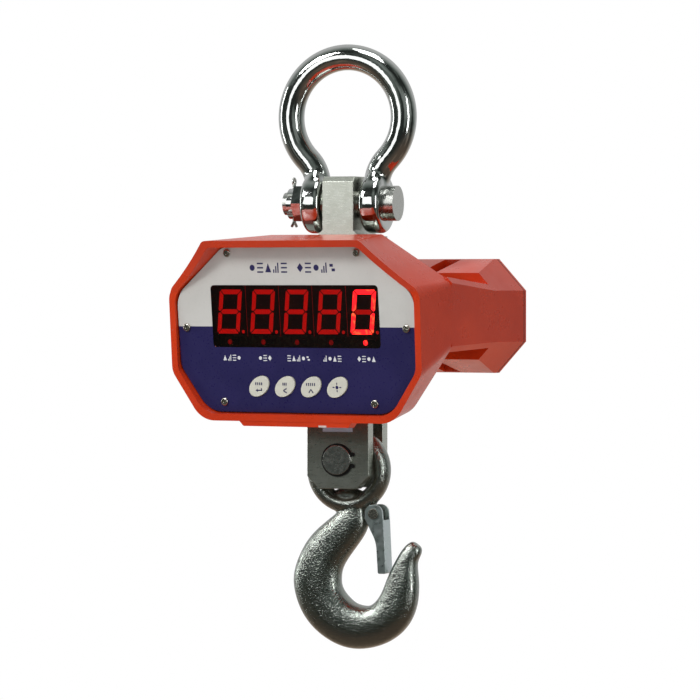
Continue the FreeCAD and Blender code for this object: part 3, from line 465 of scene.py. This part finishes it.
# The modules' face lies under the panel's.  A digit leans by SLANT, its segments stand GAP apart, and
# CUT is taken off their outer corners.  The decimal point and the divider follow from its middle.
MODULE_FACE, DIGITS = -2.34, 5
PITCH, TALL, WIDE, STROKE, SLANT = 34.1, 37.6, 23.0, 4.0, 0.135
DIGIT_X, DIGIT_V, GAP, CUT = 0.4, 13.6, 0.55, 1.3
POINT_X, POINT_DROP, POINT_RADIUS = 13.1, 17.1, 1.5
DIVIDER_X, DIVIDER_TOP, DIVIDER_FOOT, DIVIDER_WIDE = 17.4, 35.8, -7.5, 0.45
LAMP_ROW, LAMP_PITCH, LAMP_RADIUS = -12.2, 34.6, 2.25


def slanted(points, middle):
    """One segment's outline, given in the digit's upright axes, in its place and sheared."""
    return [(middle + x + SLANT * v, DIGIT_V + v) for x, v in points]


def digit_segments(middle):
    """The seven segments of one digit: top, two rights, bottom, two lefts and middle."""
    side, rise = WIDE / 2, TALL / 2
    inner = side - STROKE
    top = [(-side + CUT + GAP, rise), (side - CUT - GAP, rise), (side - CUT / 2 - GAP, rise - CUT / 2),
           (inner - GAP, rise - STROKE), (-inner + GAP, rise - STROKE),
           (-side + CUT / 2 + GAP, rise - CUT / 2)]
    right = [(side, rise - CUT - GAP), (side, CUT), (side - STROKE / 2 + 0.4, GAP),
             (inner, STROKE / 2 + GAP), (inner, rise - STROKE - GAP),
             (side - CUT / 2, rise - CUT / 2 - GAP)]
    dash = [(-side + STROKE / 2 + GAP, 0), (-inner + GAP, STROKE / 2), (inner - GAP, STROKE / 2),
            (side - STROKE / 2 - GAP, 0), (inner - GAP, -STROKE / 2), (-inner + GAP, -STROKE / 2)]
    bottom, low_right = [[(x, -v) for x, v in shape] for shape in (top, right)]
    left, low_left = [[(-x, v) for x, v in shape] for shape in (right, low_right)]
    order = (top, right, low_right, bottom, low_left, left, dash)
    return [slanted(shape, middle) for shape in order]


dim_shapes, lit_shapes, divider_shapes = [], [], []
for index in range(DIGITS):
    middle = (index - 2) * PITCH + DIGIT_X
    seven = digit_segments(middle)
    dim_shapes.append(disc(middle + POINT_X, DIGIT_V - POINT_DROP, POINT_RADIUS))
    if index < DIGITS - 1:
        edge_x = middle + DIVIDER_X
        divider_shapes.append(bar(edge_x, DIVIDER_TOP, edge_x, DIVIDER_FOOT, DIVIDER_WIDE))
        dim_shapes += seven
    else:
        lit_shapes += seven[:6]
        dim_shapes += seven[6:]
flat_marks("digit_segments_dim", dim_shapes, MODULE_FACE, unlit_painted_glow, "scale")
flat_marks("digit_segments_lit", lit_shapes, MODULE_FACE, lit_red, "scale")
flat_marks("digit_dividers", divider_shapes, MODULE_FACE, faint_painted_glow, "scale")
lamps = [disc((index - 2) * LAMP_PITCH, LAMP_ROW, LAMP_RADIUS) for index in range(DIGITS)]
flat_marks("lamp_faces_dim", lamps[:4], MODULE_FACE, faint_painted_glow, "scale")
flat_marks("lamp_face_lit", lamps[4:], MODULE_FACE, lit_red, "scale")

# ---- inside and rear fittings ------------------------------------------------------------------
# Boards, battery and aerial sit out of sight.  The socket and the button sit in the rear cover.

board, shader = new_material("SolderMask", (0.02, 0.16, 0.06), 0.35)
tree = board.node_tree
tracks = ramp(tree, noise(tree, 240, 1), 0.5, 0.52)
vary_colour(shader, tracks, (0.015, 0.13, 0.05), (0.03, 0.22, 0.09))
moulded, shader = new_material("BlackMoulding", (0.02, 0.02, 0.02), 0.45)
roughen(shader, 1600, 0.5, 0.0001)
red_cap, shader = new_material("RedCap", (0.5, 0.02, 0.02), 0.3)
vary_roughness(shader, 500, 0.25, 0.4)
wire, shader = new_material("BrassWire", (0.72, 0.5, 0.2), 0.25, 1.0)
vary_roughness(shader, 900, 0.2, 0.35)
blank, shader = new_material("BlankLabel", (0.34, 0.35, 0.42), 0.4)
vary_roughness(shader, 300, 0.32, 0.48)
finish_of = {"circuit_green": board, "battery_case": moulded, "socket_black": moulded,
             "carrier_steel": satin, "brass_wire": wire, "label_grey": blank, "button_red": red_cap}
for node, slot in slots.items():
    if slot in finish_of and not nodes[node].hide_render:
        paint(nodes[node], finish_of[slot])
for node in ("charging_socket", "power_switch", "power_button"):
    paint(softened(node, 0.0005), finish_of[slots[node]])

# ---- panel print -------------------------------------------------------------------------------
# Plain screen-printed shapes stand where a maker's wording would be: a navy title above the
# window, and a white row under each lamp.

white_ink, shader = new_material("WhiteInk", (0.72, 0.72, 0.74), 0.35)
vary_roughness(shader, 800, 0.3, 0.42)


def glyph(kind, x, v, cap):
    """One plain shape in a cell as tall as the cap and 0.8 as wide."""
    half, rise, pen = 0.36 * cap, cap / 2, 0.15 * cap
    if kind == "steps":
        levels = [v + share * rise for share in (-0.84, 0, 0.84)]
        return [bar(x - half, level, x + half, level, pen) for level in levels]
    if kind == "peak":
        return [[(x - half, v - rise * 0.9), (x, v + rise * 0.9), (x + half, v - rise * 0.9)]]
    if kind == "tiles":
        reach, tile, step = 0.2 * cap, 0.28 * cap, half * 0.62
        places = ((x - 0.5 * step, v + step), (x + 0.5 * step, v - step))
        return [bar(tile_x - reach, tile_v, tile_x + reach, tile_v, tile) for tile_x, tile_v in places]
    if kind == "dot":
        return [disc(x, v, half * 0.85)]
    if kind == "gauge":
        columns = [x - half + pen * (0.5 + 1.7 * index) for index in range(3)]
        return [bar(column, v - rise, column, v - rise + (index + 1) * cap / 3, pen)
                for index, column in enumerate(columns)]
    return [[(x - half, v), (x, v + rise * 0.9), (x + half, v), (x, v - rise * 0.9)]]


def mark_row(kinds, middle, v, cap):
    """A row of shapes on even cells, centred on the given place; None leaves a cell empty."""
    shapes = []
    for index, kind in enumerate(kinds):
        if kind:
            shapes += glyph(kind, middle + (index - (len(kinds) - 1) / 2) * cap * 0.95, v, cap)
    return shapes


PRINT_HEIGHT = 0.03
TITLE_V, TITLE_CAP = 51, 8.6
title = ["dot", "steps", "peak", "gauge", "steps", None, "diamond", "steps", "dot", "gauge", "tiles"]
flat_marks("panel_title_marks", mark_row(title, 0, TITLE_V, TITLE_CAP), PRINT_HEIGHT, ink,
           "scale")
WORD_X, WORD_PITCH, WORD_V, WORD_CAP = 1.8, 34.3, -25.6, 5.1
words = [["peak", "gauge", "steps", "dot"], ["dot", "steps", "diamond"],
         ["steps", "peak", "gauge", "dot", "tiles"], ["gauge", "dot", "peak", "steps"],
         ["diamond", "steps", "dot", "peak"]]
small = []
for index, kinds in enumerate(words):
    small += mark_row(kinds, (index - 2) * WORD_PITCH + WORD_X, WORD_V, WORD_CAP)
flat_marks("panel_lamp_marks", small, PRINT_HEIGHT, white_ink, "scale")

# ---- studio ------------------------------------------------------------------------------------
# A pale round floor that only throws light back, soft boxes in front and above, a bright surround
# behind and a dark room in front.  The camera stands a little right of the panel.

FLOOR_Z, FLOOR_RADIUS, FLOOR_SIDES = -0.75, 1.6, 96
turns = np.linspace(0, math.tau, FLOOR_SIDES, endpoint=False)
across, along = FLOOR_RADIUS * np.cos(turns), FLOOR_RADIUS * np.sin(turns)
rim = np.column_stack([across, along, np.full(FLOOR_SIDES, FLOOR_Z)])
floor_mesh = bpy.data.meshes.new("studio_floor")
floor_mesh.from_pydata(rim.tolist(), [], [list(range(FLOOR_SIDES))])
floor = bpy.data.objects.new("studio_floor", floor_mesh)
bpy.context.scene.collection.objects.link(floor)
pale, shader = new_material("PaleFloor", (0.86, 0.86, 0.86), 0.9)
floor.data.materials.append(pale)
floor.visible_glossy = False
floor.visible_camera = False


def soft_box(name, place, size, power, tall=None, aim=(0, 0, -0.24)):
    """An area light aimed at the middle of the scale: square, or a rectangle if tall is given."""
    lamp = bpy.data.lights.new(name, "AREA")
    lamp.energy = power
    lamp.size = size
    if tall:
        lamp.shape = "RECTANGLE"
        lamp.size_y = tall
    holder = bpy.data.objects.new(name, lamp)
    holder.location = place
    holder.visible_camera = False
    holder.rotation_euler = (Vector(aim) - Vector(place)).to_track_quat("-Z", "Y").to_euler()
    bpy.context.scene.collection.objects.link(holder)


soft_box("key_box", (-1.1, -2.2, 1.4), 0.9, 46)
soft_box("top_box", (0.3, -0.5, 2.0), 1.0, 22)
soft_box("left_strip", (-2.4, -0.9, 0.1), 0.25, 9, 1.5)
soft_box("right_strip", (2.5, -0.6, 0.1), 0.35, 14, 1.6)
soft_box("front_panel_light", (-0.09, -0.92, 0.07), 0.34, 0.8, 0.42, (0, 0, 0.02))

HEADING = math.radians(34)
WHITE = (1.0, 1.0, 1.0)
world = bpy.data.worlds.new("studio")
world.use_nodes = True
tree = world.node_tree
background = tree.nodes["Background"]
place = tree.nodes.new("ShaderNodeTexCoord")
behind = tree.nodes.new("ShaderNodeVectorMath")
behind.operation = "DOT_PRODUCT"
behind.inputs[1].default_value = (-math.sin(HEADING), math.cos(HEADING), 0.35)
tree.links.new(place.outputs["Generated"], behind.inputs[0])
surround = ramp(tree, behind.outputs["Value"], -0.1, 0.75, 0.0, 0.60)
clutter = ramp(tree, noise(tree, 1.7, 3, 0.55, place.outputs["Generated"]), 0.46, 0.72, 0.03, 0.36)
height = tree.nodes.new("ShaderNodeSeparateXYZ")
tree.links.new(place.outputs["Generated"], height.inputs["Vector"])
under = ramp(tree, height.outputs["Z"], -0.1, -0.55)
room = maths(tree, "MAXIMUM", surround, clutter)
room = maths(tree, "MAXIMUM", room, maths(tree, "MULTIPLY", under, 0.11))
path = tree.nodes.new("ShaderNodeLightPath")
seen = path.outputs["Is Camera Ray"]
tree.links.new(maths(tree, "MAXIMUM", room, seen), background.inputs["Strength"])
tinted = blend_colour(tree, ramp(tree, room, 0.05, 0.5), (0.84, 1.0, 0.90), WHITE)
warmed = blend_colour(tree, under, tinted, (1.0, 0.74, 0.56))
tree.links.new(blend_colour(tree, seen, warmed, WHITE), background.inputs["Color"])
bpy.context.scene.world = world
bpy.context.scene.view_settings.view_transform = "Standard"

DISTANCE, EYE_Z, LOOK = 4.1846, -0.181, Vector((0.0018, 0.0012, -0.2383))
eye = bpy.data.cameras.new("camera")
eye.lens = 252
eye.sensor_width = 36
eye.clip_end = 50
camera = bpy.data.objects.new("camera", eye)
camera.location = (DISTANCE * math.sin(HEADING), -DISTANCE * math.cos(HEADING), EYE_Z)
camera.rotation_euler = (LOOK - camera.location).to_track_quat("-Z", "Y").to_euler()
bpy.context.scene.collection.objects.link(camera)
bpy.context.scene.camera = camera
